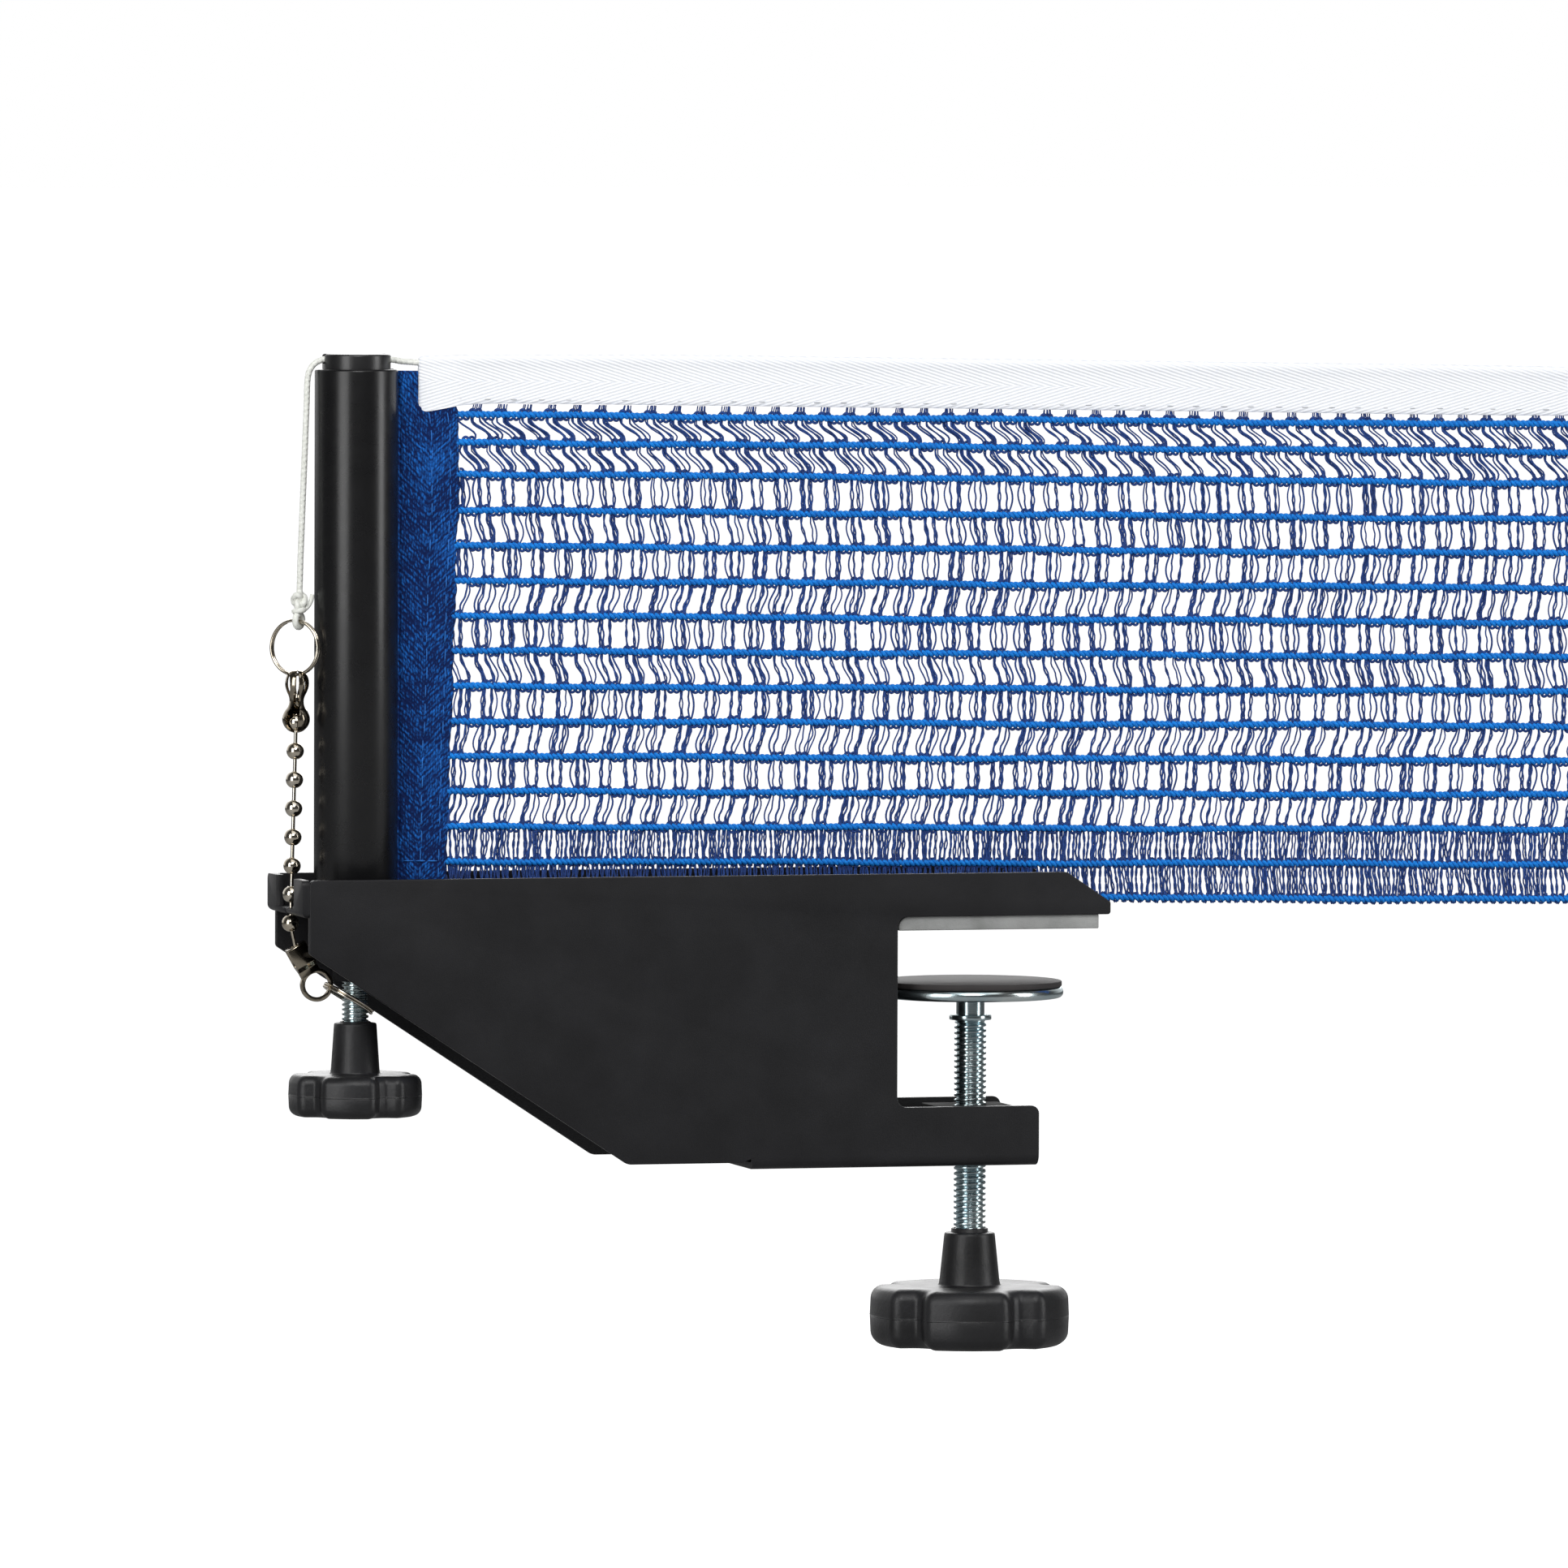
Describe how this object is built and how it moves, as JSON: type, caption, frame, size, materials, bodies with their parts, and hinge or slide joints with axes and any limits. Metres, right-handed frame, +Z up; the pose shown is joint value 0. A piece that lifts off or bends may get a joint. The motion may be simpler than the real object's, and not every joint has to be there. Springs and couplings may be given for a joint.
{
  "type": "table tennis net clamp",
  "caption": "Screw clamp for one end of a table tennis net: black sheet bracket with net post, two star-knob screws, ball chain tensioner and a stretch of blue net with white tape.",
  "frame": {"origin": "centre of the upper jaw pad's underside, on the table's playing surface", "axes": "+X along the net towards the middle of the table, +Y across the net away from the viewed side, +Z up"},
  "size_m": [0.4023, 0.0529, 0.2643],
  "materials": {
    "powder_coat": "black satin powder coat",
    "post_paint": "black satin paint",
    "zinc": "bright zinc plating",
    "nickel": "warm nickel plating",
    "pad_rubber": "light grey soft pad",
    "disc_rubber": "dark rubber",
    "knob_plastic": "black, slightly textured",
    "cap_plastic": "black satin",
    "rod_steel": "plain steel",
    "hem_cloth": "blue woven hem",
    "net_cord": "blue braided cord",
    "tape_cloth": "white herringbone tape",
    "white_cord": "white twisted cord"
  },
  "bodies": {
    "clamp_frame": {"bracket": "powder_coat", "jaw_plate": "powder_coat", "jaw_pad": "pad_rubber", "chain_hook": "powder_coat", "clamp_nut": "zinc", "post_bridge_upper": "powder_coat", "post_bridge_lower": "powder_coat", "post_tube": "post_paint", "height_nut": "zinc", "hem_rod": "rod_steel", "net_hem": "hem_cloth", "net_mesh": "net_cord", "net_tape": "tape_cloth", "net_hem_far": "hem_cloth", "far_loop": "white_cord", "tension_cord": "white_cord", "cord_knot": "white_cord", "upper_ring": "nickel", "upper_coupling": "nickel", "chain_balls": "nickel", "chain_links": "nickel", "lower_coupling": "nickel", "lower_ring": "nickel"},
    "clamp_screw_body": {"clamp_screw": "zinc", "disc_clip": "zinc", "clamp_knob": "knob_plastic"},
    "clamp_disc": {"pressure_disc": "zinc", "disc_pad": "disc_rubber"},
    "lift": {"lift_rod": "rod_steel", "post_cap": "cap_plastic"},
    "height_screw_body": {"height_screw": "zinc", "height_knob": "knob_plastic"}
  },
  "joints": [
    {"name": "clamp_feed", "type": "slide", "parent": "clamp_frame", "child": "clamp_disc", "axis": [0, 0, 1], "range_m": [-0.021, 0.014]},
    {"name": "clamp_turn", "type": "hinge", "parent": "clamp_disc", "child": "clamp_screw_body", "pos_m": [-0.0025, 0, -0.05], "axis": [0, 0, 1], "range_deg": [-5060, 3380]},
    {"name": "height_feed", "type": "slide", "parent": "clamp_frame", "child": "lift", "axis": [0, 0, 1], "range_m": [-0.0035, 0.001], "deforming": ["tension_cord"]},
    {"name": "height_turn", "type": "hinge", "parent": "lift", "child": "height_screw_body", "pos_m": [-0.1707, 0, -0.02], "axis": [0, 0, 1], "range_deg": [-1015, 295]}
  ],
  "couplings": [
    {"joint": "clamp_turn", "follows": "clamp_feed", "rad_per_m": 4188.8},
    {"joint": "height_turn", "follows": "height_feed", "rad_per_m": 5026.5}
  ]
}
